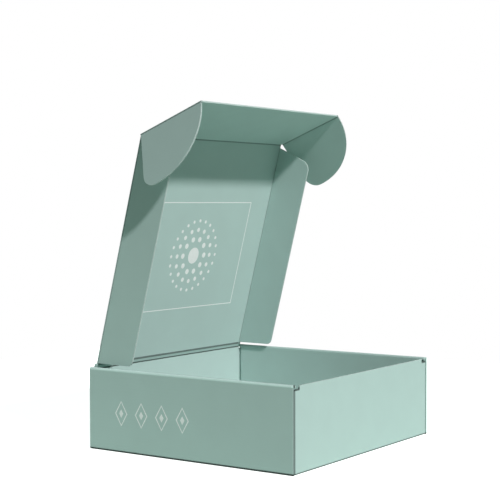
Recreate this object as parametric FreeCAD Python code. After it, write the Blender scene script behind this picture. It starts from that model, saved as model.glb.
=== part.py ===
import FreeCAD, Part
import os
from math import cos, radians, sin

V = FreeCAD.Vector

# Corrugated mailer box, folded from one die-cut sheet, shown with its lid standing open.
# The tray has roll-over side walls: each one rises, turns over and comes down inside again,
# with the end walls' dust flaps trapped between its two layers and its tabs locked in the base.
# The lid carries two side wings and a front tuck flap, and the tuck flap carries two ears.
# Origin: middle of the base's underside. +Z up, front wall towards -Y, lid hinged along +Y.

# Driving sizes of the tray, outside, in millimetres
tray_width = 250.0
tray_depth = 230.0
side_height = 78.0
front_height = 76.8
board = 1.5
layer_gap = 0.25
fold_inner_radius = 0.35

# Corner relief and trapped flaps
end_notch_width = 6.0
end_notch_depth = 2.4
inner_panel_setback = 2.8
dust_flap_length = 72.0
dust_flap_end_taper = 9.0
dust_flap_corner = 8.0

# Locking tabs under the inner side panels
tab_width = 34.0
tab_count = 2
tab_play = 0.3
tab_floor_gap = 0.3
tab_corner = 0.9

# Lid hinge: a narrow band between two creases, leaning in over the tray
hinge_band_height = 4.3
hinge_band_lean = 2.2
lid_lift = 2.3
crease_groove_radius = 0.5
crease_gap = 0.3

# Lid, wings, tuck flap and ears
lid_front_play = 1.0
slide_play = 0.4
wing_depth = 41.0
wing_hinge_setback = 1.2
wing_hinge_taper = 10.0
wing_hinge_corner = 6.5
wing_front_setback = 4.0
wing_front_taper = 8.0
wing_front_corner = 10.0
tuck_length = 75.8
ear_setback = 1.4
ear_depth = 58.7
ear_corner = 13.0
ear_tip_setback = 0.2

# How far each flap stands from its parent, in degrees, as the box is shown
lid_opening = 75.5
tuck_fold = 54.0
left_ear_fold = 70.0
right_ear_fold = 61.0
wing_fold = 90.0

# Sizes worked out from the ones above
half_board = board / 2
bend_radius = fold_inner_radius + half_board
wall_half_width = tray_width / 2 - half_board
wall_half_depth = tray_depth / 2 - half_board
flap_half_width = wall_half_width - board - layer_gap
inner_half_width = flap_half_width - board - layer_gap
end_wall_reach = flap_half_width + half_board
inner_face = inner_half_width - half_board
ear_axis_x = inner_face - slide_play - half_board
wing_axis_x = ear_axis_x - board - slide_play
band_half_width = inner_face - slide_play
panel_start = half_board + crease_gap
hinge_y = wall_half_depth - hinge_band_lean
hinge_z = side_height + lid_lift
lid_length = hinge_y + wall_half_depth - board - lid_front_play
lower_crease_z = hinge_z - hinge_band_height
relief_z = side_height - board - end_notch_depth
flap_bottom_z = board + layer_gap


def fold_corner(before, corner, after, radius):
    """Return where a rounded fold starts, its middle and its end."""
    towards_start = (before - corner).normalize()
    towards_end = (after - corner).normalize()
    start = corner + towards_start * radius
    end = corner + towards_end * radius
    centre = corner + (towards_start + towards_end) * radius
    middle = centre + (corner - centre).normalize() * radius
    return start, middle, end


def one_side(points, normals, offset, square_radius):
    """Edges of one face of the folded board, offset from its middle line."""
    edges = []
    shifted = [points[0] + normals[0] * offset]
    for i in range(1, len(points) - 1):
        shifted.append(points[i] + (normals[i - 1] + normals[i]) * offset)
    shifted.append(points[-1] + normals[-1] * offset)
    last = shifted[0]
    for i in range(1, len(shifted) - 1):
        turn = normals[i - 1].dot((points[i + 1] - points[i]))
        radius = square_radius - offset if turn > 0 else square_radius + offset
        start, middle, end = fold_corner(shifted[i - 1], shifted[i], shifted[i + 1], radius)
        edges.append(Part.LineSegment(last, start).toShape())
        edges.append(Part.Arc(start, middle, end).toShape())
        last = end
    edges.append(Part.LineSegment(last, shifted[-1]).toShape())
    return edges, shifted[0], shifted[-1]


def folded_strip(points, plane_normal, run):
    """Board bent square at each inner point of its middle line, then run sideways."""
    normals = []
    for a, b in zip(points, points[1:]):
        normals.append(plane_normal.cross(b - a).normalize())
    upper, upper_start, upper_end = one_side(points, normals, half_board, bend_radius)
    lower, lower_start, lower_end = one_side(points, normals, -half_board, bend_radius)
    ends = [
        Part.LineSegment(upper_end, lower_end).toShape(),
        Part.LineSegment(lower_start, upper_start).toShape(),
    ]
    wire = Part.Wire(Part.__sortEdges__(upper + lower + ends))
    return Part.Face(wire).extrude(run)


def block(low, high):
    """Box between two corners."""
    size = high - low
    return Part.makeBox(size.x, size.y, size.z, low)


def rounded_outline(corners):
    """Closed flat outline in the XY plane from (x, y, corner radius) entries."""
    edges = []
    count = len(corners)
    joints = []
    for i in range(count):
        before = V(corners[i - 1][0], corners[i - 1][1], 0)
        here = V(corners[i][0], corners[i][1], 0)
        after = V(corners[(i + 1) % count][0], corners[(i + 1) % count][1], 0)
        radius = corners[i][2]
        if radius == 0:
            joints.append((here, None, here))
            continue
        towards_start = (before - here).normalize()
        towards_end = (after - here).normalize()
        half_angle = towards_start.getAngle(towards_end) / 2
        reach = radius * cos(half_angle) / sin(half_angle)
        start = here + towards_start * reach
        end = here + towards_end * reach
        centre = here + (towards_start + towards_end).normalize() * (radius / sin(half_angle))
        middle = centre + (here - centre).normalize() * radius
        joints.append((start, middle, end))
    for i in range(count):
        start, middle, end = joints[i]
        if middle is not None:
            edges.append(Part.Arc(start, middle, end).toShape())
        following = joints[(i + 1) % count][0]
        if end.distanceToPoint(following) > 1e-6:
            edges.append(Part.LineSegment(end, following).toShape())
    return Part.Wire(edges)


def board_panel(wire):
    """Flat piece of board, with its middle in the XY plane."""
    panel = Part.Face(wire).extrude(V(0, 0, board))
    panel.translate(V(0, 0, -half_board))
    return panel


def placed(shape, origin, along, across):
    """Put a piece modelled in the XY plane where its crease lies, X along and Y across."""
    normal = along.cross(across)
    matrix = FreeCAD.Matrix(
        along.x, across.x, normal.x, origin.x,
        along.y, across.y, normal.y, origin.y,
        along.z, across.z, normal.z, origin.z,
        0, 0, 0, 1,
    )
    return moved_by(shape, matrix)


def moved_by(shape, matrix):
    """Rigid move that keeps planes and cylinders exact."""
    copy = shape.copy()
    copy.Placement = FreeCAD.Placement(matrix).multiply(copy.Placement)
    return copy


def side_walls_and_base():
    """Base with both roll-over side walls, one strip folded six times."""
    inner_foot = board + layer_gap
    middle_top = side_height - half_board
    section = [
        V(-inner_half_width, 0, inner_foot),
        V(-inner_half_width, 0, middle_top),
        V(-wall_half_width, 0, middle_top),
        V(-wall_half_width, 0, half_board),
        V(wall_half_width, 0, half_board),
        V(wall_half_width, 0, middle_top),
        V(inner_half_width, 0, middle_top),
        V(inner_half_width, 0, inner_foot),
    ]
    start = V(0, -tray_depth / 2, 0)
    section = [point + start for point in section]
    return folded_strip(section, V(0, 1, 0), V(0, tray_depth, 0))


def shorten_inner_panels(tray):
    """Set each inner side panel back from the end walls, below its top fold."""
    reach = wall_half_depth - half_board - inner_panel_setback
    for side in (-1, 1):
        for end in (-1, 1):
            x_low = min(side * (inner_face - 1), side * (inner_face + board + layer_gap / 2))
            y_low = min(end * reach, end * (tray_depth / 2 + 1))
            low = V(x_low, y_low, 0 + board + layer_gap / 2)
            span = V(board + 1 + layer_gap / 2, tray_depth / 2 + 1 - reach, 0)
            high = low + span
            high.z = side_height - board - bend_radius
            tray = tray.cut(block(low, high))
    return tray


def end_wall(end, height, half_width_at_top):
    """Front or back wall: a strip folded up from the base, its corners relieved."""
    overlap = 4 * board
    foot_y = wall_half_depth - overlap
    flat_half_width = flap_half_width - bend_radius
    section = [
        V(-flat_half_width, end * wall_half_depth, height),
        V(-flat_half_width, end * wall_half_depth, half_board),
        V(-flat_half_width, end * foot_y, half_board),
    ]
    wall = folded_strip(section, V(1, 0, 0), V(2 * flat_half_width, 0, 0))
    for side in (-1, 1):
        near = min(side * half_width_at_top, side * tray_width / 2)
        low = V(near, end * wall_half_depth - board, relief_z)
        high = V(near + tray_width / 2 - half_width_at_top, end * wall_half_depth + board, height + 1)
        wall = wall.cut(block(low, high))
    return wall


def dust_flaps(end):
    """End wall's upper part turned round both corners into its two dust flaps."""
    tip_y = end * (tray_depth / 2 - dust_flap_length)
    plan = [
        V(-flap_half_width, tip_y, flap_bottom_z),
        V(-flap_half_width, end * wall_half_depth, flap_bottom_z),
        V(flap_half_width, end * wall_half_depth, flap_bottom_z),
        V(flap_half_width, tip_y, flap_bottom_z),
    ]
    strip = folded_strip(plan, V(0, 0, 1), V(0, 0, relief_z - flap_bottom_z))
    root_y = tray_depth / 2 - bend_radius - board
    tip = tray_depth / 2 - dust_flap_length
    outline = rounded_outline([
        (tip, flap_bottom_z + dust_flap_end_taper, dust_flap_corner),
        (root_y, flap_bottom_z, 0),
        (root_y + 3 * board, flap_bottom_z, 0),
        (root_y + 3 * board, relief_z, 0),
        (root_y, relief_z, 0),
        (tip, relief_z - dust_flap_end_taper, dust_flap_corner),
    ])
    trim = Part.Face(outline).extrude(V(0, 0, tray_width))
    trim = placed(trim, V(-tray_width / 2, 0, 0), V(0, end, 0), V(0, 0, 1))
    if end < 0:
        trim.translate(V(tray_width, 0, 0))
    return strip.common(trim)


def lock_tabs(tray):
    """Slots in the base, and the tabs that drop from the inner panels into them."""
    spacing = tray_depth / (tab_count + 0.5)
    for side in (-1, 1):
        for number in range(tab_count):
            y = (number - (tab_count - 1) / 2) * spacing
            centre = V(side * inner_half_width, y, 0)
            slot_half = V(half_board + tab_play, tab_width / 2 + tab_play, 0)
            slot = block(centre - slot_half - V(0, 0, 1), centre + slot_half + V(0, 0, board + 1))
            tray = tray.cut(slot.common(block(V(-tray_width, -tray_depth, -1), V(tray_width, tray_depth, board))))
            root_z = board + 4 * layer_gap
            outline = rounded_outline([
                (-tab_width / 2, root_z, 0),
                (-tab_width / 2 + tab_corner, tab_floor_gap, tab_corner / 2),
                (tab_width / 2 - tab_corner, tab_floor_gap, tab_corner / 2),
                (tab_width / 2, root_z, 0),
            ])
            tab = placed(board_panel(outline), centre, V(0, 1, 0), V(0, 0, 1))
            tray = tray.fuse(tab)
    return tray


def hinge_band(tray):
    """Narrow band leaning in from the back wall's top crease up to the lid's hinge."""
    foot = V(0, wall_half_depth, lower_crease_z)
    top = V(0, hinge_y, hinge_z)
    half_width = band_half_width
    reach = (top - foot).Length
    band = Part.makeBox(reach, 2 * half_width, board, V(0, -half_width, -half_board))
    tray = tray.fuse(placed(band, foot, (top - foot).normalize(), V(-1, 0, 0)))
    for centre in (foot, top):
        edge = Part.makeCylinder(half_board, 2 * half_width, centre - V(half_width, 0, 0), V(1, 0, 0))
        tray = tray.fuse(edge)
    groove_start = foot - V(inner_face, half_board, 0)
    groove = Part.makeCylinder(crease_groove_radius, 2 * inner_face, groove_start, V(1, 0, 0))
    return tray.cut(groove)


def make_tray():
    """Tray folded from the sheet: base, four walls, dust flaps, tabs and hinge band."""
    tray = side_walls_and_base()
    for end in (-1, 1):
        inner = wall_half_depth - 4 * board
        outer = tray_depth / 2 + 1
        low = V(-end_wall_reach, min(end * inner, end * outer), -1)
        high = V(end_wall_reach, max(end * inner, end * outer), board + layer_gap / 2)
        tray = tray.cut(block(low, high))
    tray = shorten_inner_panels(tray)
    walls = [
        (-1, front_height, inner_face - end_notch_width),
        (1, lower_crease_z, band_half_width),
    ]
    for end, height, half_width in walls:
        tray = tray.fuse(end_wall(end, height, half_width))
        tray = tray.fuse(dust_flaps(end))
    tray = lock_tabs(tray)
    tray = hinge_band(tray)
    return tray.removeSplitter()


# Directions of the open lid and the tuck flap
lid_up = V(0, -cos(radians(lid_opening)), sin(radians(lid_opening)))
lid_in = V(0, -sin(radians(lid_opening)), -cos(radians(lid_opening)))
tuck_out = lid_up * cos(radians(tuck_fold)) + lid_in * sin(radians(tuck_fold))
tuck_in = lid_in * cos(radians(tuck_fold)) - lid_up * sin(radians(tuck_fold))
hinge = V(0, hinge_y, hinge_z)
front_crease = hinge + lid_up * lid_length


def round_edged_panel(length_low, length_high, half_width):
    """Flat panel whose two long edges are rounded about the creases they carry."""
    size = length_high - length_low
    panel = Part.makeBox(size, 2 * half_width, board, V(length_low, -half_width, -half_board))
    for side in (-1, 1):
        edge = Part.makeCylinder(half_board, size, V(length_low, side * half_width, 0), V(1, 0, 0))
        panel = panel.fuse(edge)
    return panel


def make_lid_panel():
    """Lid panel, rounded about its front crease and both wing creases."""
    panel = round_edged_panel(panel_start, lid_length, wing_axis_x)
    front = Part.makeCylinder(half_board, 2 * wing_axis_x, V(lid_length, -wing_axis_x, 0), V(0, 1, 0))
    panel = panel.fuse(front)
    for side in (-1, 1):
        panel = panel.fuse(Part.makeSphere(half_board, V(lid_length, side * wing_axis_x, 0)))
    return placed(panel.removeSplitter(), hinge, lid_up, V(-1, 0, 0))


def make_wing(side):
    """Side wing of the lid, tapered at both ends with rounded corners."""
    low = wing_hinge_setback
    high = lid_length - wing_front_setback
    outline = rounded_outline([
        (low, panel_start, 0),
        (high, panel_start, 0),
        (high - wing_front_taper, wing_depth, wing_front_corner),
        (low + wing_hinge_taper, wing_depth, wing_hinge_corner),
    ])
    fold = radians(wing_fold)
    outward = V(side, 0, 0) * cos(fold) + lid_in * sin(fold)
    return placed(board_panel(outline), hinge + V(side * wing_axis_x, 0, 0), lid_up, outward)


def make_tuck_flap():
    """Front tuck flap, rounded about the creases of its ears."""
    panel = round_edged_panel(panel_start, tuck_length, ear_axis_x).removeSplitter()
    return placed(panel, front_crease, tuck_out, V(-1, 0, 0))


def make_ear(side, fold_angle):
    """Ear of the tuck flap: a straight edge, a round shoulder and a long elliptical sweep."""
    shoulder_x = ear_setback + ear_corner
    tip_x = tuck_length - ear_tip_setback
    root = Part.LineSegment(V(tip_x, panel_start, 0), V(ear_setback, panel_start, 0)).toShape()
    straight_top = V(ear_setback, ear_depth - ear_corner, 0)
    straight = Part.LineSegment(V(ear_setback, panel_start, 0), straight_top).toShape()
    lean = ear_corner * (1 - cos(radians(45)))
    shoulder_middle = V(ear_setback + lean, ear_depth - lean, 0)
    shoulder = Part.Arc(straight_top, shoulder_middle, V(shoulder_x, ear_depth, 0)).toShape()
    sweep_half_length = tip_x - shoulder_x
    sweep_depth = ear_depth - panel_start
    centre = V(shoulder_x, panel_start, 0)
    longer = max(sweep_half_length, sweep_depth)
    shorter = min(sweep_half_length, sweep_depth)
    axis_point = V(longer, 0, 0) if sweep_half_length > sweep_depth else V(0, longer, 0)
    side_point = V(0, shorter, 0) if sweep_half_length > sweep_depth else V(-shorter, 0, 0)
    ellipse = Part.Ellipse(centre + axis_point, centre + side_point, centre)
    tip_parameter = ellipse.parameter(V(tip_x, panel_start, 0))
    crown_parameter = ellipse.parameter(V(shoulder_x, ear_depth, 0))
    full_turn = radians(360)
    if crown_parameter < tip_parameter:
        tip_parameter = tip_parameter - full_turn
    sweep = Part.ArcOfEllipse(ellipse, tip_parameter, crown_parameter).toShape()
    wire = Part.Wire(Part.__sortEdges__([root, straight, shoulder, sweep]))
    fold = radians(fold_angle)
    outward = V(side, 0, 0) * cos(fold) + tuck_in * sin(fold)
    return placed(board_panel(wire), front_crease + V(side * ear_axis_x, 0, 0), tuck_out, outward)


def main():
    os.makedirs("parts", exist_ok=True)
    pieces = {
        "tray": make_tray(),
        "lid_panel": make_lid_panel(),
        "left_wing": make_wing(-1),
        "right_wing": make_wing(1),
        "tuck_flap": make_tuck_flap(),
        "left_ear": make_ear(-1, left_ear_fold),
        "right_ear": make_ear(1, right_ear_fold),
    }
    for name, shape in pieces.items():
        shape.exportStep("parts/" + name + ".step")
        box = shape.BoundBox
        print(name, len(shape.Solids), shape.isValid(), round(shape.Volume, 1),
              [round(v, 2) for v in (box.XMin, box.XMax, box.YMin, box.YMax, box.ZMin, box.ZMax)])


main()
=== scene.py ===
"""Looks of a corrugated mailer box: board finish, printed figures, studio and camera."""

import logging
import math
from dataclasses import dataclass, field
from enum import Enum

import bmesh
import bpy
from mathutils import Matrix, Vector


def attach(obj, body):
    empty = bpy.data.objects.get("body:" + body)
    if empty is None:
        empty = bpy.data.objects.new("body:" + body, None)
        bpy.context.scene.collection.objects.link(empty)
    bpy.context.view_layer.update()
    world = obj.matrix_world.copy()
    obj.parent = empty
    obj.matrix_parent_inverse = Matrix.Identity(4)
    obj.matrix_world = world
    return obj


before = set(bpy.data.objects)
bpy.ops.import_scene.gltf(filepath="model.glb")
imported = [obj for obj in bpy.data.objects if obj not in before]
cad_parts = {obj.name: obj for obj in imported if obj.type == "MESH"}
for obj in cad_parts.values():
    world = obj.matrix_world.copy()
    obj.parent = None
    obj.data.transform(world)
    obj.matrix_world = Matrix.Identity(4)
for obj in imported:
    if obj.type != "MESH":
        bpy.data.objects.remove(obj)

log = logging.getLogger("mailer_box")

Triple = tuple[float, float, float]
Pair = tuple[float, float]
Socket = bpy.types.NodeSocket
Feed = Socket | Vector | tuple | float

MM = 0.001
TURN = 2 * math.pi
# How many times wider a square is from corner to corner than along a side.
SPREAD = math.sqrt(2)
TRAY_BODY = "box_tray"
LID_BODY = "lid"
X_AXIS, Y_AXIS, Z_AXIS = (1.0, 0.0, 0.0), (0.0, 1.0, 0.0), (0.0, 0.0, 1.0)
WHITE = (1.0, 1.0, 1.0)
SIDES = (("left", -1.0), ("right", 1.0))
NO_CUTS = 0.0
FLUTE_PITCH = 3.2 * MM
HALF_BOARD = 0.75 * MM
# A Mix node's sockets by number, because its three kinds of input share their names.
MIX_SHARE, MIX_LOW, MIX_HIGH, MIX_COLOUR = 0, 6, 7, 2


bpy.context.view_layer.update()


def side_of(name: str) -> float:
    """Tell the left pieces, at -1, from the right ones, at 1."""
    return -1.0 if name.startswith("left") else 1.0


def add_object(name: str, data: bpy.types.ID) -> bpy.types.Object:
    """Put new data into the scene as an object at the origin.

    Args:
        name: name of the object.
        data: its mesh, lamp or camera.

    Returns:
        The new object.
    """
    made = bpy.data.objects.new(name, data)
    bpy.context.scene.collection.objects.link(made)
    return made


def add_piece(name: str, mesh: bpy.types.Mesh, body: str) -> bpy.types.Object:
    """Add a finished mesh to the scene on the body that carries it.

    Args:
        name: name of the piece.
        mesh: its mesh, already in place.
        body: body it moves with.

    Returns:
        The new object.
    """
    piece = add_object(name, mesh)
    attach(piece, body)
    return piece


def mesh_from(name: str, shape: bmesh.types.BMesh) -> bpy.types.Mesh:
    """Keep a shape as a mesh and free the shape.

    Args:
        name: name of the mesh.
        shape: the finished shape.

    Returns:
        The new mesh.
    """
    mesh = bpy.data.meshes.new(name)
    shape.to_mesh(mesh)
    shape.free()
    return mesh


class NodeBench:
    """Adds nodes to one tree, a material's or a Geometry Nodes one, and wires them."""

    def __init__(self, tree: bpy.types.NodeTree) -> None:
        """Work on the given tree."""
        self.tree = tree

    def add(self, kind: str, feeds: dict[str | int, Feed] | None = None,
            **settings: str) -> bpy.types.Node:
        """Add one node.

        Args:
            kind: type of the node.
            feeds: for each input, by name or number, the socket or plain value it gets.
            settings: the node's own settings.

        Returns:
            The new node.
        """
        node = self.tree.nodes.new(kind)
        for name, value in settings.items():
            setattr(node, name, value)
        for key, value in (feeds or {}).items():
            self.feed(node, key, value)
        return node

    def feed(self, node: bpy.types.Node, key: str | int, value: Feed) -> None:
        """Give an input a socket to follow or a plain value.

        Args:
            node: the node with the input.
            key: name or number of the input.
            value: the socket or the value.
        """
        if isinstance(value, Socket):
            self.tree.links.new(value, node.inputs[key])
        else:
            node.inputs[key].default_value = value

    def number(self, operation: str, *operands: Feed) -> Socket:
        """Work out a number from one or two numbers.

        Args:
            operation: what is done with them.
            operands: the numbers.

        Returns:
            The result's socket.
        """
        feeds = dict(enumerate(operands))
        return self.add("ShaderNodeMath", feeds, operation=operation).outputs[0]

    def vector(self, operation: str, *operands: Feed) -> Socket:
        """Work out a vector, a product or a length from one or two vectors.

        Args:
            operation: what is done with them.
            operands: the vectors.

        Returns:
            The result's socket.
        """
        node = self.add("ShaderNodeVectorMath", dict(enumerate(operands)), operation=operation)
        return node.outputs["Value" if operation in ("DOT_PRODUCT", "LENGTH") else "Vector"]

    def scaled(self, vector: Feed, factor: Feed) -> Socket:
        """Multiply a vector or a colour by a number.

        Args:
            vector: the vector or colour.
            factor: the number.

        Returns:
            The result's socket.
        """
        feeds = {0: vector, "Scale": factor}
        return self.add("ShaderNodeVectorMath", feeds, operation="SCALE").outputs["Vector"]

    def ranged(self, value: Socket, low: float, high: float) -> Socket:
        """Turn a value from 0 to 1 into one from low to high.

        Args:
            value: the value's socket.
            low: what 0 becomes.
            high: what 1 becomes.

        Returns:
            The result's socket.
        """
        feeds = {"Value": value, "To Min": low, "To Max": high}
        return self.add("ShaderNodeMapRange", feeds).outputs["Result"]

    def blend(self, share: Socket, low: Socket | Triple, high: Triple) -> Socket:
        """Blend two colours.

        Args:
            share: how much of the second colour shows, from 0 to 1.
            low: the first colour.
            high: the second colour.

        Returns:
            The blended colour's socket.
        """
        first = low if isinstance(low, Socket) else (*low, 1.0)
        feeds = {MIX_SHARE: share, MIX_LOW: first, MIX_HIGH: (*high, 1.0)}
        return self.add("ShaderNodeMix", feeds, data_type="RGBA").outputs[MIX_COLOUR]

    def noise(self, place: Socket, scale: float, detail: float = 2.0) -> Socket:
        """Make a cloudy pattern from 0 to 1 in the object's own space.

        Args:
            place: socket of the place on the object.
            scale: how fine the pattern is.
            detail: how many finer layers it has.

        Returns:
            The pattern's socket.
        """
        feeds = {"Vector": place, "Scale": scale, "Detail": detail}
        return self.add("ShaderNodeTexNoise", feeds).outputs["Fac"]


class Surface:
    """A new node material with its bench, its shader and the object's own coordinates."""

    def __init__(self, name: str, colour: Triple, roughness: float) -> None:
        """Start the material.

        Args:
            name: name of the material.
            colour: its plain colour.
            roughness: roughness of its shader.
        """
        self.material = bpy.data.materials.new(name)
        self.material.use_nodes = True
        self.bench = NodeBench(self.material.node_tree)
        self.shader = self.material.node_tree.nodes["Principled BSDF"]
        self.feed("Base Color", (*colour, 1.0))
        self.feed("Roughness", roughness)

    def feed(self, key: str, value: Feed) -> None:
        """Give the shader's input a socket to follow or a plain value."""
        self.bench.feed(self.shader, key, value)

    def coordinates(self) -> tuple[Socket, Socket]:
        """Give the sockets of the object's own place and normal."""
        found = self.bench.add("ShaderNodeTexCoord").outputs
        return found["Object"], found["Normal"]


@dataclass(frozen=True)
class FoldTone:
    """How a fold is toned.

    The colour is multiplied by the factor within a share of the reach, and fades to its
    own value at the reach.
    """

    reach: float
    factor: float
    full_share: float = 0.55


@dataclass(frozen=True)
class Crease:
    """A straight fold or edge whose colour is toned: darker for painted shade and pressed
    paper, lighter for a painted highlight and a pale cut edge.
    """

    origin: Triple
    direction: Triple
    tone: FoldTone
    half_span: float = 1.0

    def darken(self, bench: NodeBench, place: Socket, colour: Socket) -> Socket:
        """Multiply a colour near the fold, darkening it for painted shade and lightening it for
        a painted highlight or pale cut edge.

        Args:
            bench: the material's bench.
            place: socket of the place on the object.
            colour: the colour to change.

        Returns:
            The changed colour's socket.
        """
        offset = bench.vector("SUBTRACT", place, self.origin)
        lever = bench.vector("CROSS_PRODUCT", offset, self.direction)
        fade = bench.add("ShaderNodeMapRange", {
            "Value": bench.vector("LENGTH", lever),
            "From Min": self.tone.reach * self.tone.full_share,
            "From Max": self.tone.reach,
            "To Min": self.tone.factor,
            "To Max": 1.0,
        }, interpolation_type="SMOOTHSTEP")
        along = bench.vector("DOT_PRODUCT", offset, self.direction)
        past = bench.number("GREATER_THAN", bench.number("ABSOLUTE", along), self.half_span)
        return bench.scaled(colour, bench.number("MAXIMUM", fade.outputs["Result"], past))


@dataclass(frozen=True)
class CutEdge:
    """Tells a sub-part's cut edges from its printed faces by where they face."""

    name: str
    flat_normal: Triple = X_AXIS
    tolerance: float = NO_CUTS
    creases: tuple[Crease, ...] = ()
    middle: Triple | None = None
    half_core: float = 0.52 * MM
    across: Triple = X_AXIS
    side_across: Triple | None = None
    side_limit: float = 0.7
    pitch: float = FLUTE_PITCH

    def mask(self, bench: NodeBench, normal: Socket) -> Socket:
        """Make a mask that is 1 on cut edges and 0 elsewhere.

        Args:
            bench: the material's bench.
            normal: socket of the object's own normal.

        Returns:
            The mask's socket.
        """
        facing = bench.vector("DOT_PRODUCT", normal, self.flat_normal)
        return bench.number("LESS_THAN", bench.number("ABSOLUTE", facing), self.tolerance)

    def core(self, bench: NodeBench, place: Socket, cut: Socket) -> Socket:
        """Make a mask that is 1 on a cut edge's middle, between the two liners, where shade is
        painted into the flute voids.

        Args:
            bench: the material's bench.
            place: socket of the place on the object.
            cut: the mask of the cut edges.

        Returns:
            The mask's socket.
        """
        offset = bench.vector("SUBTRACT", place, self.middle)
        depth = bench.vector("DOT_PRODUCT", offset, self.flat_normal)
        inside = bench.number("LESS_THAN", bench.number("ABSOLUTE", depth), self.half_core)
        return bench.number("MULTIPLY", inside, cut)

    def ribs(self, bench: NodeBench, place: Socket, normal: Socket) -> Socket:
        """Make the faint ribs that the flutes press into the liners.

        Args:
            bench: the material's bench.
            place: socket of the place on the object.
            normal: socket of the object's own normal.

        Returns:
            The socket of a height from -1 to 1.
        """
        along = bench.vector("DOT_PRODUCT", place, self.across)
        if self.side_across is not None:
            other = bench.vector("DOT_PRODUCT", place, self.side_across)
            facing = bench.number("ABSOLUTE", bench.vector("DOT_PRODUCT", normal, self.across))
            on_side = bench.number("GREATER_THAN", facing, self.side_limit)
            choice = bench.add("ShaderNodeMix", {"Factor": on_side, "A": along, "B": other})
            along = choice.outputs["Result"]
        return bench.number("SINE", bench.number("MULTIPLY", along, TURN / self.pitch))


@dataclass(frozen=True)
class PaintedPaper:
    """Matte printed paper: the liner of the board, paler and ribbed where it is cut."""

    name: str
    face: Triple
    cut: Triple
    # Painted shade: the dark colour of the flute voids in the middle of cut edges.
    void_shade: Triple = (0.33, 0.43, 0.40)
    roughness: float = 0.72
    gloss: float = 0.2
    mottle: float = 0.035
    mottle_scale: float = 42.0
    mottle_detail: float = 5.0
    fibre_scale: float = 900.0
    fibre_detail: float = 3.0
    fibre_strength: float = 0.5
    fibre_height: float = 0.03 * MM
    rib_height: float = 0.006 * MM

    def build(self, edge: CutEdge) -> bpy.types.Material:
        """Make the material of one sub-part.

        Args:
            edge: which of its faces are cut edges, and its folds.

        Returns:
            The node material, with plain values on the shader's own sockets.
        """
        surface = Surface(f"{self.name}_{edge.name}", self.face, self.roughness)
        surface.feed("Specular IOR Level", self.gloss)
        place, normal = surface.coordinates()
        surface.feed("Base Color", self._colour(surface.bench, edge, place, normal))
        surface.feed("Normal", self._relief(surface.bench, edge, place, normal))
        return surface.material

    def _colour(self, bench: NodeBench, edge: CutEdge, place: Socket,
                normal: Socket) -> Socket:
        """Colour the faces and the paler cut edges, paint shade into the flute voids and tone
        the folds with painted shade and highlights, all a little mottled.

        Args:
            bench: the material's bench.
            edge: the sub-part's cut edges and folds.
            place: socket of the place on the object.
            normal: socket of the object's own normal.

        Returns:
            The colour's socket.
        """
        cut = edge.mask(bench, normal)
        layered = bench.blend(cut, self.face, self.cut)
        if edge.middle is not None:
            # Painted shade in the flute voids between the liners.
            layered = bench.blend(edge.core(bench, place, cut), layered, self.void_shade)
        cloud = bench.noise(place, self.mottle_scale, self.mottle_detail)
        shade = bench.ranged(cloud, 1.0 - self.mottle, 1.0 + self.mottle)
        toned = bench.scaled(layered, shade)
        # Painted shade and highlights along the folds, corners and floor line.
        for crease in edge.creases:
            toned = crease.darken(bench, place, toned)
        return toned

    def _relief(self, bench: NodeBench, edge: CutEdge, place: Socket,
                normal: Socket) -> Socket:
        """Raise the paper's fibres over the flutes' faint ribs.

        Args:
            bench: the material's bench.
            edge: the sub-part's flutes.
            place: socket of the place on the object.
            normal: socket of the object's own normal.

        Returns:
            The socket of the shading normal.
        """
        ribs = bench.add("ShaderNodeBump", {
            "Strength": 1.0,
            "Distance": self.rib_height,
            "Height": edge.ribs(bench, place, normal),
        })
        fibre = bench.add("ShaderNodeBump", {
            "Strength": self.fibre_strength,
            "Distance": self.fibre_height,
            "Height": bench.noise(place, self.fibre_scale, self.fibre_detail),
            "Normal": ribs.outputs["Normal"],
        })
        return fibre.outputs["Normal"]


SAGE_BOARD = PaintedPaper("sage_board", (0.450, 0.600, 0.562), (0.60, 0.73, 0.69))
FLUTE_PAPER = PaintedPaper("flute_paper", (0.74, 0.80, 0.77), (0.74, 0.80, 0.77))
# Dark paper of the crease strips: painted shade in the folds.
CREASE_SHADE_PAPER = PaintedPaper("crease_shade_paper", (0.24, 0.34, 0.31), (0.24, 0.34, 0.31))


@dataclass(frozen=True)
class PrintInk:
    """Opaque white ink, with a faint mottle where it sinks into the paper."""

    name: str = "white_ink"
    colour: Triple = (0.86, 0.90, 0.88)
    roughness: float = 0.7
    mottle_scale: float = 350.0
    thinnest: float = 0.93
    thickest: float = 1.03

    def build(self) -> bpy.types.Material:
        """Make the ink's material.

        Returns:
            The node material.
        """
        surface = Surface(self.name, self.colour, self.roughness)
        bench = surface.bench
        place, _ = surface.coordinates()
        cloud = bench.noise(place, self.mottle_scale)
        shade = bench.ranged(cloud, self.thinnest, self.thickest)
        surface.feed("Base Color", bench.scaled(self.colour, shade))
        return surface.material


@dataclass(frozen=True)
class Panel:
    """A flat place on the box with two directions of its own."""

    origin: Vector
    across: Vector
    up: Vector

    @property
    def normal(self) -> Vector:
        """Direction that the panel faces in."""
        return self.across.cross(self.up)

    def direction(self, u: float, v: float, w: float = 0.0) -> Vector:
        """Turn panel directions into the box's own frame."""
        return self.across * u + self.up * v + self.normal * w

    def point(self, u: float, v: float, w: float = 0.0) -> Vector:
        """Turn a place on the panel into the box's own frame."""
        return self.origin + self.direction(u, v, w)


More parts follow.
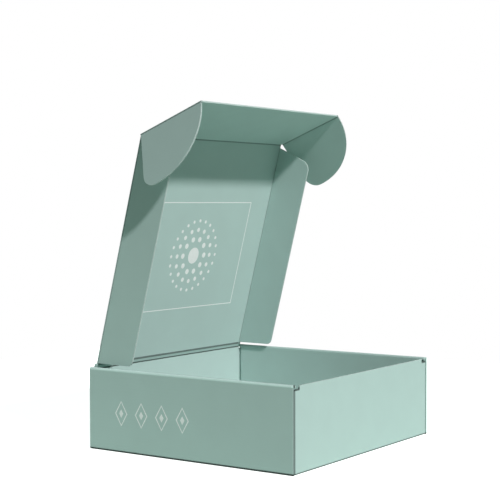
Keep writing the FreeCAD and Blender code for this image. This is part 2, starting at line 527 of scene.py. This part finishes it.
@dataclass
class BoardBox:
    """The folded board itself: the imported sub-parts with their paper finish."""

    paper: PaintedPaper
    lid_angle: float = math.radians(75.5)
    tuck_fold: float = math.radians(54.0)
    ear_folds: dict[str, float] = field(default_factory=lambda: {
        "left_ear": math.radians(70.0),
        "right_ear": math.radians(61.0),
    })
    hinge: Vector = field(default_factory=lambda: Vector((0.0, 112.05, 80.3)) * MM)
    lid_length: float = 223.8 * MM
    wing_x: float = 116.95 * MM
    ear_x: float = 118.85 * MM
    outside: Triple = (125.0 * MM, 115.0 * MM, 78.0 * MM)
    corner: Pair = (122.7 * MM, 117.0 * MM)
    lid_crease_half: float = 116.2 * MM
    band_foot: Triple = (0.0, 113.5 * MM, 76.0 * MM)
    band_foot_half: float = 119.2 * MM
    front_top: Triple = (0.0, -114.25 * MM, 76.8 * MM)
    front_top_half: float = 114.0 * MM
    notch_foot: Triple = (118.2 * MM, -114.6 * MM, 74.1 * MM)
    notch_half: float = 4.2 * MM
    cut_tolerance: float = 0.35
    cross_folded: tuple[str, ...] = ("lid_panel", "tuck_flap")
    bodies: dict[str, str] = field(default_factory=lambda: {
        "lid_panel": LID_BODY,
        "left_wing": "lid_wing_left",
        "right_wing": "lid_wing_right",
        "tuck_flap": "tuck",
        "left_ear": "tuck_ear_left",
        "right_ear": "tuck_ear_right",
    })
    # Painted shade, partly darker pressed paper, in the hinge and band foot creases.
    lid_fold_shade: FoldTone = FoldTone(1.55 * MM, 0.34)
    band_fold_shade: FoldTone = FoldTone(0.95 * MM, 0.30)
    # Painted shade in the gaps at the front corners, deepest at the near corner.
    near_corner_shade_tone: FoldTone = FoldTone(3.3 * MM, 0.16)
    far_corner_shade_tone: FoldTone = FoldTone(2.9 * MM, 0.70)
    front_cut_tone: FoldTone = FoldTone(0.9 * MM, 1.25)
    # Painted shade of the flute voids along the middle of the front wall's top edge.
    front_void_shade_tone: FoldTone = FoldTone(0.62 * MM, 0.5)
    # Painted shade in the small notches at the ends of the front wall's top.
    notch_shade_tone: FoldTone = FoldTone(1.7 * MM, 0.22)
    # Painted contact shadow along the tray's bottom folds, where it stands on the floor.
    front_contact_shadow_tone: FoldTone = FoldTone(2.0 * MM, 0.22)
    side_contact_shadow_tone: FoldTone = FoldTone(2.5 * MM, 0.12)
    # Painted highlight on the rolled tops of the side walls.
    rim_highlight_tone: FoldTone = FoldTone(2.6 * MM, 1.35)
    # Painted shade, partly darker pressed paper, in the tuck, wing and ear folds.
    tuck_fold_shade: FoldTone = FoldTone(1.8 * MM, 0.52)
    wing_fold_shade: FoldTone = FoldTone(1.7 * MM, 0.72)
    ear_fold_shade: FoldTone = FoldTone(1.9 * MM, 0.66)

    @property
    def lid_up(self) -> Vector:
        """Direction from the lid's hinge to its front crease."""
        return Vector((0.0, -math.cos(self.lid_angle), math.sin(self.lid_angle)))

    @property
    def lid_in(self) -> Vector:
        """Direction the lid's inner face looks in."""
        return Vector((0.0, -math.sin(self.lid_angle), -math.cos(self.lid_angle)))

    @property
    def tuck_in(self) -> Vector:
        """Direction the tuck flap's inner face looks in."""
        return self.lid_in * math.cos(self.tuck_fold) - self.lid_up * math.sin(self.tuck_fold)

    @property
    def tuck_out(self) -> Vector:
        """Direction from the tuck flap's crease to its free edge."""
        return self.lid_up * math.cos(self.tuck_fold) + self.lid_in * math.sin(self.tuck_fold)

    @property
    def front_crease(self) -> Vector:
        """Middle of the crease between the lid panel and the tuck flap."""
        return self.hinge + self.lid_up * self.lid_length

    def ear_normal(self, ear: str) -> Vector:
        """Direction an ear's flat face looks in."""
        fold = self.ear_folds[ear]
        return Vector((side_of(ear), 0.0, 0.0)) * math.sin(fold) - self.tuck_in * math.cos(fold)

    def panels(self) -> dict[str, Panel]:
        """Find the middle plane of each folding panel.

        Returns:
            For each sub-part a place on its crease, and its directions.
        """
        x_axis = Vector(X_AXIS)
        found = {
            "lid_panel": Panel(self.hinge, x_axis, self.lid_up),
            "tuck_flap": Panel(self.front_crease, x_axis, self.tuck_out),
        }
        for name, side in SIDES:
            wing_at = self.hinge + x_axis * side * self.wing_x
            found[f"{name}_wing"] = Panel(wing_at, self.lid_in, self.lid_up)
            ear_at = self.front_crease + x_axis * side * self.ear_x
            ear_out = self.ear_normal(f"{name}_ear").cross(self.tuck_out)
            found[f"{name}_ear"] = Panel(ear_at, ear_out, self.tuck_out)
        return found

    def tray_folds(self, lid: Crease) -> tuple[Crease, ...]:
        """Find where the tray's colour is toned: painted shade in creases, corners, notches and
        flute voids, a painted contact shadow, a painted highlight on the rims and a pale cut
        edge.

        Args:
            lid: the lid's crease, which the tray shares.

        Returns:
            The tray's creases.
        """
        half_x, half_y, top = self.outside
        corner_x, corner_y = self.corner
        notch_x, notch_y, notch_z = self.notch_foot
        notches = [(side * notch_x, notch_y, notch_z) for _, side in SIDES]
        front, half = self.front_top, self.front_top_half
        return (
            lid,
            # Painted shade in the hinge band's foot crease.
            Crease(self.band_foot, X_AXIS, self.band_fold_shade, self.band_foot_half),
            # Painted shade in the front corners' gaps.
            Crease((-corner_x, -corner_y, 0.0), Z_AXIS, self.near_corner_shade_tone),
            Crease((corner_x, -corner_y, 0.0), Z_AXIS, self.far_corner_shade_tone),
            Crease(front, X_AXIS, self.front_cut_tone, half),
            # Painted shade of the flute voids on the front wall's top.
            Crease(front, X_AXIS, self.front_void_shade_tone, half),
            # Painted shade in the front wall's end notches.
            *(Crease(foot, X_AXIS, self.notch_shade_tone, self.notch_half) for foot in notches),
            # Painted contact shadow along the bottom folds.
            *(Crease((0.0, y, 0.0), X_AXIS, self.front_contact_shadow_tone) for y in (-half_y, half_y)),
            *(Crease((x, 0.0, 0.0), Y_AXIS, self.side_contact_shadow_tone) for x in (-half_x, half_x)),
            # Painted highlight on the side walls' rolled tops.
            *(Crease((x, 0.0, top), Y_AXIS, self.rim_highlight_tone) for x in (-half_x, half_x)),
        )

    def folds(self) -> dict[str, tuple[Crease, ...]]:
        """Find the creases that show on each sub-part, with their painted shade.

        Returns:
            The creases by sub-part.
        """
        # The lid, tuck, wing and ear creases carry painted shade, partly darker pressed paper.
        lid = Crease(tuple(self.hinge), X_AXIS, self.lid_fold_shade, self.lid_crease_half)
        tuck = Crease(tuple(self.front_crease), X_AXIS, self.tuck_fold_shade)
        found = {"tray": self.tray_folds(lid)}
        flats = self.panels()
        for kind, tone in (("wing", self.wing_fold_shade), ("ear", self.ear_fold_shade)):
            for name, _ in SIDES:
                flat = flats[f"{name}_{kind}"]
                found[f"{name}_{kind}"] = (Crease(tuple(flat.origin), tuple(flat.up), tone),)
        found["lid_panel"] = (lid, tuck, *found["left_wing"], *found["right_wing"])
        found["tuck_flap"] = (tuck, *found["left_ear"], *found["right_ear"])
        return found

    def edges(self) -> dict[str, CutEdge]:
        """Set the rule for each sub-part's cut edges.

        Returns:
            The rules by sub-part.
        """
        folds = self.folds()
        rules = {"tray": CutEdge("tray", creases=folds["tray"], side_across=Z_AXIS)}
        for name, flat in self.panels().items():
            cut = name not in self.cross_folded
            rules[name] = CutEdge(
                name,
                tuple(flat.normal),
                self.cut_tolerance if cut else NO_CUTS,
                folds[name],
                tuple(flat.origin) if cut else None,
                across=tuple(flat.across),
            )
        return rules

    def dress(self) -> None:
        """Give every packed sub-part its paper."""
        for name, edge in self.edges().items():
            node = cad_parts[name]
            material = self.paper.build(edge)
            if not node.material_slots:
                node.data.materials.append(material)
            for holder in node.material_slots:
                holder.material = material
            log.info("dressed %s", name)


class LayoutTree:
    """A Geometry Nodes tree with named inputs, run once and kept as a plain mesh."""

    def __init__(self, name: str, inputs: dict[str, str]) -> None:
        """Build the tree, which ends in realised and finished geometry.

        Args:
            name: name of the tree.
            inputs: for each named input the kind of its socket.
        """
        self.tree = bpy.data.node_groups.new(name, "GeometryNodeTree")
        face = self.tree.interface
        for title, kind in {"Geometry": "Geometry", **inputs, "Finish": "Material"}.items():
            face.new_socket(title, in_out="INPUT", socket_type=f"NodeSocket{kind}")
        face.new_socket("Geometry", in_out="OUTPUT", socket_type="NodeSocketGeometry")
        self.bench = NodeBench(self.tree)
        self.entry = self.bench.add("NodeGroupInput")
        real = self.bench.add("GeometryNodeRealizeInstances", {"Geometry": self.wire()})
        covered = self.bench.add("GeometryNodeSetMaterial", {
            "Geometry": real.outputs["Geometry"],
            "Material": self.given("Finish"),
        })
        self.bench.add("NodeGroupOutput", {"Geometry": covered.outputs["Geometry"]})

    def given(self, name: str) -> Socket:
        """Give the socket of one of the tree's inputs."""
        return self.entry.outputs[name]

    def wire(self) -> Socket:
        """Wire the tree's own nodes and give the socket of what they make, in each kind."""
        raise NotImplementedError

    def run(self, name: str, source: bpy.types.Mesh, values: dict[str, object],
            finish: bpy.types.Material) -> bpy.types.Mesh:
        """Run the tree on one mesh and keep the result.

        Args:
            name: name of the result.
            source: mesh that the tree starts from.
            values: value of each named input.
            finish: material of the result.

        Returns:
            A plain mesh in the box's own frame.
        """
        values = {**values, "Finish": finish}
        carrier = add_object(f"{name}_source", source)
        modifier = carrier.modifiers.new("layout", "NODES")
        modifier.node_group = self.tree
        for item in self.tree.interface.items_tree:
            if item.item_type == "SOCKET" and item.in_out == "INPUT" and item.name in values:
                modifier[item.identifier] = values[item.name]
        graph = bpy.context.evaluated_depsgraph_get()
        mesh = bpy.data.meshes.new_from_object(carrier.evaluated_get(graph))
        mesh.name = name
        carrier.modifiers.remove(modifier)
        bpy.data.objects.remove(carrier)
        if finish.name not in [material.name for material in mesh.materials if material]:
            mesh.materials.append(finish)
        return mesh


class FluteTree(LayoutTree):
    """Runs the fluted paper as a wave along a cut edge."""

    steps_per_wave: int = 8

    def __init__(self) -> None:
        """Build the tree with the wave's sizes as inputs."""
        super().__init__("flute_wave", {
            "Board Normal": "Vector",
            "Across Flutes": "Vector",
            "Pitch": "Float",
            "Swing": "Float",
            "Thickness": "Float",
            "Step": "Float",
        })

    def wire(self) -> Socket:
        """Turn the edge's line into a wave between the liners and give it thickness.

        Returns:
            The socket of the ribbon.
        """
        bench, given = self.bench, self.given
        line = bench.add("GeometryNodeMeshToCurve", {"Mesh": given("Geometry")})
        feeds = {"Curve": line.outputs["Curve"], "Length": given("Step")}
        fine = bench.add("GeometryNodeResampleCurve", feeds, mode="LENGTH")
        spot = bench.add("GeometryNodeInputPosition").outputs["Position"]
        along = bench.vector("DOT_PRODUCT", spot, given("Across Flutes"))
        turns = bench.number("DIVIDE", along, given("Pitch"))
        wave = bench.number("SINE", bench.number("MULTIPLY", turns, TURN))
        rise = bench.number("MULTIPLY", wave, given("Swing"))
        shift = bench.scaled(given("Board Normal"), rise)
        feeds = {"Geometry": fine.outputs["Curve"], "Offset": shift}
        waved = bench.add("GeometryNodeSetPosition", feeds)
        feeds = {"Width": given("Thickness"), "Height": given("Thickness")}
        section = bench.add("GeometryNodeCurvePrimitiveQuadrilateral", feeds)
        ribbon = bench.add("GeometryNodeCurveToMesh", {
            "Curve": waved.outputs["Geometry"],
            "Profile Curve": section.outputs["Curve"],
            "Fill Caps": True,
        })
        return ribbon.outputs["Mesh"]


@dataclass
class FlutedCore:
    """The wavy middle paper of the board, where it shows on the panels' cut edges."""

    box: BoardBox
    paper: bpy.types.Material
    swing: float = 0.44 * MM
    thickness: float = 0.2 * MM
    crease_clear: float = 2.2 * MM
    front_half: float = 113.8 * MM
    weld: float = 0.001 * MM
    face_facing: float = 0.99
    cut_facing: float = 0.3
    folded_all_round: tuple[str, ...] = ("lid_panel",)

    def _is_cut(self, side: bmesh.types.BMEdge, flat: Panel, crossed: bool) -> bool:
        """Tell whether an edge parts a panel's outer face from its cut edge.

        Args:
            side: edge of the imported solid.
            flat: the panel's middle plane.
            crossed: whether the crease runs across the panel and not up it.

        Returns:
            True for such an edge that is clear of the crease.
        """
        if len(side.link_faces) != 2:
            return False
        facing = [face.normal.dot(flat.normal) for face in side.link_faces]
        if max(facing) < self.face_facing or min(map(abs, facing)) > self.cut_facing:
            return False
        middle = (side.verts[0].co + side.verts[1].co) / 2 - flat.origin
        height = middle.dot(flat.up)
        distance = abs(height) if crossed else (middle - flat.up * height).length
        return distance >= self.crease_clear

    def _edge_line(self, name: str, flat: Panel) -> bpy.types.Mesh:
        """Find a panel's cut edges and put their line halfway between the liners.

        Args:
            name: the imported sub-part.
            flat: its middle plane.

        Returns:
            A mesh of edges only.
        """
        solid = bmesh.new()
        solid.from_mesh(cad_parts[name].data)
        bmesh.ops.remove_doubles(solid, verts=solid.verts, dist=self.weld)
        solid.normal_update()
        points, index, pairs = [], {}, []
        crossed = name in self.box.cross_folded
        for side in solid.edges:
            if not self._is_cut(side, flat, crossed):
                continue
            pair = []
            for vert in side.verts:
                if vert.index not in index:
                    index[vert.index] = len(points)
                    points.append(vert.co - flat.normal * HALF_BOARD)
                pair.append(index[vert.index])
            pairs.append(pair)
        solid.free()
        line = bpy.data.meshes.new(f"{name}_edge_line")
        line.from_pydata(points, pairs, [])
        return line

    def _front_line(self, front: Panel) -> bpy.types.Mesh:
        """Make the line along the front wall's top edge, between its two end notches.

        Args:
            front: the wall's middle plane, with its place on the top edge.

        Returns:
            A mesh of one edge.
        """
        ends = [front.point(side * self.front_half, 0.0) for _, side in SIDES]
        line = bpy.data.meshes.new("front_edge_line")
        line.from_pydata(ends, [(0, 1)], [])
        return line

    def _lay(self, tree: FluteTree, name: str, line: bpy.types.Mesh, flat: Panel,
             body: str) -> None:
        """Lay the wave along one line and let it move with a body.

        Args:
            tree: the wave's tree.
            name: name of the panel.
            line: mesh of edges that the wave follows.
            flat: the panel's middle plane; its flutes run along its up direction.
            body: body that carries the panel.
        """
        mesh = tree.run(f"{name}_flutes", line, {
            "Board Normal": tuple(flat.normal),
            "Across Flutes": tuple(flat.across),
            "Pitch": FLUTE_PITCH,
            "Swing": self.swing,
            "Thickness": self.thickness,
            "Step": FLUTE_PITCH / tree.steps_per_wave,
        }, self.paper)
        add_piece(f"{name}_flutes", mesh, body)
        log.info("fluted %s with %d faces", name, len(mesh.polygons))

    def build(self) -> None:
        """Lay the wave on the folding panels' cut edges and on the front wall's top."""
        tree = FluteTree()
        flats = self.box.panels()
        for name, body in self.box.bodies.items():
            if name not in self.folded_all_round:
                self._lay(tree, name, self._edge_line(name, flats[name]), flats[name], body)
        front = Panel(Vector(self.box.front_top), Vector(X_AXIS), Vector(Z_AXIS))
        self._lay(tree, "front_wall", self._front_line(front), front, TRAY_BODY)


@dataclass
class CreaseSkin:
    """The uncut liner in each crease, which joins a folding panel to the one before it,
    coloured dark as painted shade in the fold.
    """

    box: BoardBox
    paper: bpy.types.Material
    inner: float = 0.45 * MM
    outer: float = 1.3 * MM
    half_skin: float = 0.22 * MM
    search: float = 1.4 * MM

    def creases(self) -> dict[str, Panel]:
        """Find each folding panel's crease, as a panel of its own.

        Returns:
            For each sub-part a panel whose across direction leads from the crease into the
            sub-part and whose up direction runs along the crease.
        """
        found = {}
        for name, flat in self.box.panels().items():
            if name in self.box.cross_folded:
                found[name] = Panel(flat.origin, flat.up, flat.across)
            elif name in self.box.ear_folds:
                found[name] = Panel(flat.origin, flat.across * side_of(name), flat.up)
            else:
                found[name] = flat
        return found

    def _span(self, name: str, crease: Panel) -> Pair:
        """Find where along its crease a sub-part begins and ends.

        Args:
            name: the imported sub-part.
            crease: its crease.

        Returns:
            The two places along the crease.
        """
        reached = []
        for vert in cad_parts[name].data.vertices:
            offset = vert.co - crease.origin
            along = offset.dot(crease.up)
            if (offset - crease.up * along).length < self.search:
                reached.append(along)
        return min(reached), max(reached)

    def _strip(self, name: str, crease: Panel, span: Pair) -> bpy.types.Mesh:
        """Make one thin closed strip along a crease.

        Args:
            name: name of the mesh.
            crease: the crease.
            span: where the strip begins and ends.

        Returns:
            The strip's mesh.
        """
        strip = bmesh.new()
        ring = ((self.inner, -self.half_skin), (self.outer, -self.half_skin),
                (self.outer, self.half_skin), (self.inner, self.half_skin))
        first, last = ([strip.verts.new(crease.point(u, along, w)) for u, w in ring]
                       for along in span)
        for k in range(len(ring)):
            after = (k + 1) % len(ring)
            strip.faces.new((first[k], first[after], last[after], last[k]))
        strip.faces.new(list(reversed(first)))
        strip.faces.new(last)
        bmesh.ops.recalc_face_normals(strip, faces=strip.faces)
        return mesh_from(name, strip)

    def build(self) -> None:
        """Make a strip for each crease, hidden in the rounded edge it turns in."""
        for name, crease in self.creases().items():
            span = self._span(name, crease)
            mesh = self._strip(f"{name}_crease_skin", crease, span)
            mesh.materials.append(self.paper)
            add_piece(f"{name}_crease_skin", mesh, self.box.bodies[name])
            log.info("creased %s over %.0f mm", name, (span[1] - span[0]) / MM)


class Repeat(Enum):
    """How a printed figure is repeated over its panel."""

    ROW = "row"
    RING = "ring"


class RepeatTree(LayoutTree):
    """Repeats one figure in a row or round a ring."""

    def __init__(self, kind: Repeat) -> None:
        """Build the tree of one kind, with the places and steps as inputs.

        Args:
            kind: row or ring.
        """
        self.kind = kind
        super().__init__(f"repeat_{kind.value}", {
            "Count": "Int",
            "Start": "Vector",
            "Along": "Vector",
            "Across": "Vector",
        })

    def wire(self) -> Socket:
        """Put one copy of the figure on each point of the row or ring.

        Returns:
            The socket of the copies.
        """
        in_row = self.kind is Repeat.ROW
        points = self.bench.add("GeometryNodeMeshLine", {
            "Count": self.given("Count"),
            "Start Location": self.given("Start"),
            "Offset": self.given("Along") if in_row else (0.0, 0.0, 0.0),
        }, mode="OFFSET").outputs["Mesh"]
        if not in_row:
            points = self._round_ring(points)
        feeds = {"Points": points, "Instance": self.given("Geometry")}
        return self.bench.add("GeometryNodeInstanceOnPoints", feeds).outputs["Instances"]

    def _round_ring(self, points: Socket) -> Socket:
        """Move the points from the ring's middle out on to the ring.

        Args:
            points: socket of the points, all at the middle.

        Returns:
            The socket of the points on the ring.
        """
        bench = self.bench
        index = bench.add("GeometryNodeInputIndex").outputs[0]
        share = bench.number("DIVIDE", index, self.given("Count"))
        angle = bench.number("MULTIPLY", share, TURN)
        arms = [bench.scaled(self.given(way), bench.number(operation, angle))
                for operation, way in (("COSINE", "Along"), ("SINE", "Across"))]
        feeds = {"Geometry": points, "Offset": bench.vector("ADD", *arms)}
        return bench.add("GeometryNodeSetPosition", feeds).outputs["Geometry"]


@dataclass(frozen=True)
class Figure:
    """One flat printed figure, a polygon that may have a hole of the same shape."""

    sides: int
    width: float
    height: float
    line: float = 0.0
    turn: float = 0.0
    ink: float = 0.06 * MM

    def loop(self, inset: float) -> list[Pair]:
        """Place the corners of the figure's outline.

        Args:
            inset: how far the outline is moved in.

        Returns:
            The corners, counter-clockwise.
        """
        half_w, half_h = self.width / 2 - inset, self.height / 2 - inset
        angles = [self.turn + TURN * k / self.sides for k in range(self.sides)]
        return [(half_w * math.cos(angle), half_h * math.sin(angle)) for angle in angles]

    def mesh(self, name: str, panel: Panel, centre: Vector) -> bpy.types.Mesh:
        """Build the figure as a thin closed plate.

        Args:
            name: name of the mesh.
            panel: face it lies on, which sets its directions.
            centre: where its middle comes.

        Returns:
            The plate's mesh.
        """
        shape = bmesh.new()
        rings = [[shape.verts.new(centre + panel.direction(u, v, lift))
                  for u, v in self.loop(inset)]
                 for inset in ((0.0, self.line) if self.line else (0.0,))
                 for lift in (0.0, self.ink)]
        low, high = rings[0], rings[1]
        for k in range(self.sides):
            after = (k + 1) % self.sides
            shape.faces.new((low[k], low[after], high[after], high[k]))
            if self.line:
                hole_low, hole_high = rings[2], rings[3]
                shape.faces.new((hole_low[after], hole_low[k], hole_high[k], hole_high[after]))
                shape.faces.new((high[k], high[after], hole_high[after], hole_high[k]))
                shape.faces.new((low[after], low[k], hole_low[k], hole_low[after]))
        if not self.line:
            shape.faces.new(high)
            shape.faces.new(list(reversed(low)))
        return mesh_from(name, shape)


@dataclass(frozen=True)
class DotRing:
    """One ring of dots: how many, the ring's radius and the dots' width."""

    count: int
    radius: float
    width: float


@dataclass
class PrintedFigures:
    """Simple white figures printed inside the lid and on the left wall."""

    box: BoardBox
    ink: bpy.types.Material
    wall_x: float = -125.0 * MM
    sink: float = 0.02 * MM
    lid_middle: Pair = (0.0, 104 * MM)
    border: Figure = Figure(4, 168 * MM * SPREAD, 112 * MM * SPREAD, 1.3 * MM, TURN / 8)
    heart: Figure = Figure(32, 17 * MM, 17 * MM)
    dot_sides: int = 20
    dot_rings: tuple[DotRing, ...] = (
        DotRing(10, 17.5 * MM, 5.6 * MM),
        DotRing(16, 27.0 * MM, 4.6 * MM),
        DotRing(24, 36.5 * MM, 3.4 * MM),
    )
    lozenge: Figure = Figure(4, 15 * MM, 24 * MM, 1.4 * MM)
    lozenge_heart: Figure = Figure(4, 5 * MM, 8 * MM)
    lozenge_count: int = 4
    lozenge_start: Pair = (-76 * MM, 37 * MM)
    lozenge_step: Pair = (24 * MM, 0.0)

    def __post_init__(self) -> None:
        """Set up the two printed panels and the two repeat trees."""
        inner = self.box.hinge + self.box.lid_in * (HALF_BOARD - self.sink)
        self.lid = Panel(inner, Vector(X_AXIS), self.box.lid_up)
        wall = Vector((self.wall_x + self.sink, 0.0, 0.0))
        self.wall = Panel(wall, Vector((0.0, -1.0, 0.0)), Vector(Z_AXIS))
        self.trees = {kind: RepeatTree(kind) for kind in Repeat}

    def _keep(self, name: str, mesh: bpy.types.Mesh, body: str) -> None:
        """Add one printed piece.

        Args:
            name: name of the piece.
            mesh: its mesh, already in place.
            body: body it moves with.
        """
        if not mesh.materials:
            mesh.materials.append(self.ink)
        add_piece(name, mesh, body)
        log.info("printed %s on %s", name, body)

    def _single(self, name: str, figure: Figure) -> None:
        """Print one figure in the middle of the lid.

        Args:
            name: name of the piece.
            figure: the figure.
        """
        centre = self.lid.point(*self.lid_middle)
        self._keep(name, figure.mesh(name, self.lid, centre), LID_BODY)

    def _ring(self, name: str, ring: DotRing) -> None:
        """Print a ring of dots round the middle of the lid.

        Args:
            name: name of the piece.
            ring: the ring's sizes.
        """
        dot = Figure(self.dot_sides, ring.width, ring.width)
        motif = dot.mesh(f"{name}_motif", self.lid, Vector())
        mesh = self.trees[Repeat.RING].run(name, motif, {
            "Count": ring.count,
            "Start": tuple(self.lid.point(*self.lid_middle)),
            "Along": tuple(self.lid.direction(ring.radius, 0.0)),
            "Across": tuple(self.lid.direction(0.0, ring.radius)),
        }, self.ink)
        self._keep(name, mesh, LID_BODY)

    def _row(self, name: str, figure: Figure) -> None:
        """Print a row of one figure on the left wall.

        Args:
            name: name of the piece.
            figure: the figure.
        """
        motif = figure.mesh(f"{name}_motif", self.wall, Vector())
        mesh = self.trees[Repeat.ROW].run(name, motif, {
            "Count": self.lozenge_count,
            "Start": tuple(self.wall.point(*self.lozenge_start)),
            "Along": tuple(self.wall.direction(*self.lozenge_step)),
        }, self.ink)
        self._keep(name, mesh, TRAY_BODY)

    def build(self) -> None:
        """Print the lid's line border and rosette, and the wall's row of lozenges."""
        self._single("lid_border", self.border)
        self._single("lid_rosette_heart", self.heart)
        for number, ring in enumerate(self.dot_rings):
            self._ring(f"lid_rosette_ring_{number}", ring)
        self._row("wall_lozenges", self.lozenge)
        self._row("wall_lozenge_hearts", self.lozenge_heart)


@dataclass(frozen=True)
class Sun:
    """A distant lamp: where it shines from, its strength, softness and colour."""

    name: str
    origin: Triple
    strength: float
    angle: float
    colour: Triple = WHITE

    def build(self) -> None:
        """Add the lamp to the scene."""
        light = bpy.data.lights.new(self.name, "SUN")
        light.energy = self.strength
        light.angle = self.angle
        light.color = self.colour
        lamp = add_object(self.name, light)
        lamp.rotation_mode = "QUATERNION"
        lamp.rotation_quaternion = Vector(self.origin).to_track_quat("Z", "Y")


@dataclass
class Studio:
    """White floor, soft key light from the front and an even white surround."""

    floor_half: float = 0.7
    floor_colour: Triple = (0.70, 0.87, 0.79)
    floor_glow: float = 0.86
    surround: float = 0.115
    surround_colour: Triple = (0.70, 1.0, 0.87)
    suns: tuple[Sun, ...] = (
        Sun("key_light", (-0.26, -0.72, 0.62), 3.1, math.radians(4.0), (1.0, 0.945, 0.97)),
        Sun("back_fill", (0.62, 0.66, 0.42), 0.8, math.radians(25.0)),
    )

    def build(self) -> None:
        """Make the floor, the surround and the lamps."""
        self._floor()
        self._world()
        for sun in self.suns:
            sun.build()

    def _floor(self) -> None:
        """Make the floor, which the camera sees as white with the box's soft shadow."""
        half = self.floor_half
        corners = [(-half, -half, 0), (half, -half, 0), (half, half, 0), (-half, half, 0)]
        mesh = bpy.data.meshes.new("floor")
        mesh.from_pydata(corners, [], [(0, 1, 2, 3)])
        floor = add_object("floor", mesh)
        surface = Surface("floor_white", self.floor_colour, 1.0)
        surface.feed("Specular IOR Level", 0.0)
        surface.feed("Emission Color", (*WHITE, 1.0))
        path = surface.bench.add("ShaderNodeLightPath").outputs["Is Camera Ray"]
        glow = surface.bench.number("MULTIPLY", path, self.floor_glow)
        surface.feed("Emission Strength", glow)
        mesh.materials.append(surface.material)

    def _world(self) -> None:
        """Make the surround, tinted and dim for the box and pure white for the camera."""
        world = bpy.data.worlds.new("studio")
        bpy.context.scene.world = world
        world.use_nodes = True
        bench = NodeBench(world.node_tree)
        background = world.node_tree.nodes["Background"]
        path = bench.add("ShaderNodeLightPath").outputs["Is Camera Ray"]
        bench.feed(background, "Color", bench.blend(path, self.surround_colour, WHITE))
        bench.feed(background, "Strength", bench.ranged(path, self.surround, 1.0))


@dataclass
class PhotoCamera:
    """Camera at the photograph's place, turn and focal length."""

    azimuth: float = -55.336
    elevation: float = 1.967
    roll: float = -0.154
    place: Triple = (-1.04912, -0.71018, 0.23150)
    lens: float = 93.253
    sensor: float = 36.0
    reach: float = 60.0

    def build(self) -> None:
        """Make the camera and set it as the scene's own."""
        turn, rise, roll = map(math.radians, (self.azimuth, self.elevation, self.roll))
        level = math.cos(rise)
        back = Vector((math.sin(turn) * level, -math.cos(turn) * level, math.sin(rise)))
        right = Vector((math.cos(turn), math.sin(turn), 0.0))
        up = back.cross(right)
        right, up = (right * math.cos(roll) + up * math.sin(roll),
                     up * math.cos(roll) - right * math.sin(roll))
        data = bpy.data.cameras.new("photo_camera")
        data.lens = self.lens
        data.sensor_width = self.sensor
        data.clip_end = self.reach
        camera = add_object("photo_camera", data)
        turned = Matrix((right, up, back)).transposed().to_4x4()
        camera.matrix_world = Matrix.Translation(Vector(self.place)) @ turned
        bpy.context.scene.camera = camera


def main() -> None:
    """Dress the box, print its figures, and set up studio and camera."""
    logging.basicConfig(level=logging.INFO)
    box = BoardBox(SAGE_BOARD)
    box.dress()
    FlutedCore(box, FLUTE_PAPER.build(CutEdge("core"))).build()
    CreaseSkin(box, CREASE_SHADE_PAPER.build(CutEdge("crease"))).build()
    PrintedFigures(box, PrintInk().build()).build()
    Studio().build()
    PhotoCamera().build()
    bpy.context.scene.view_settings.view_transform = "Standard"


if __name__ == "__main__":
    main()
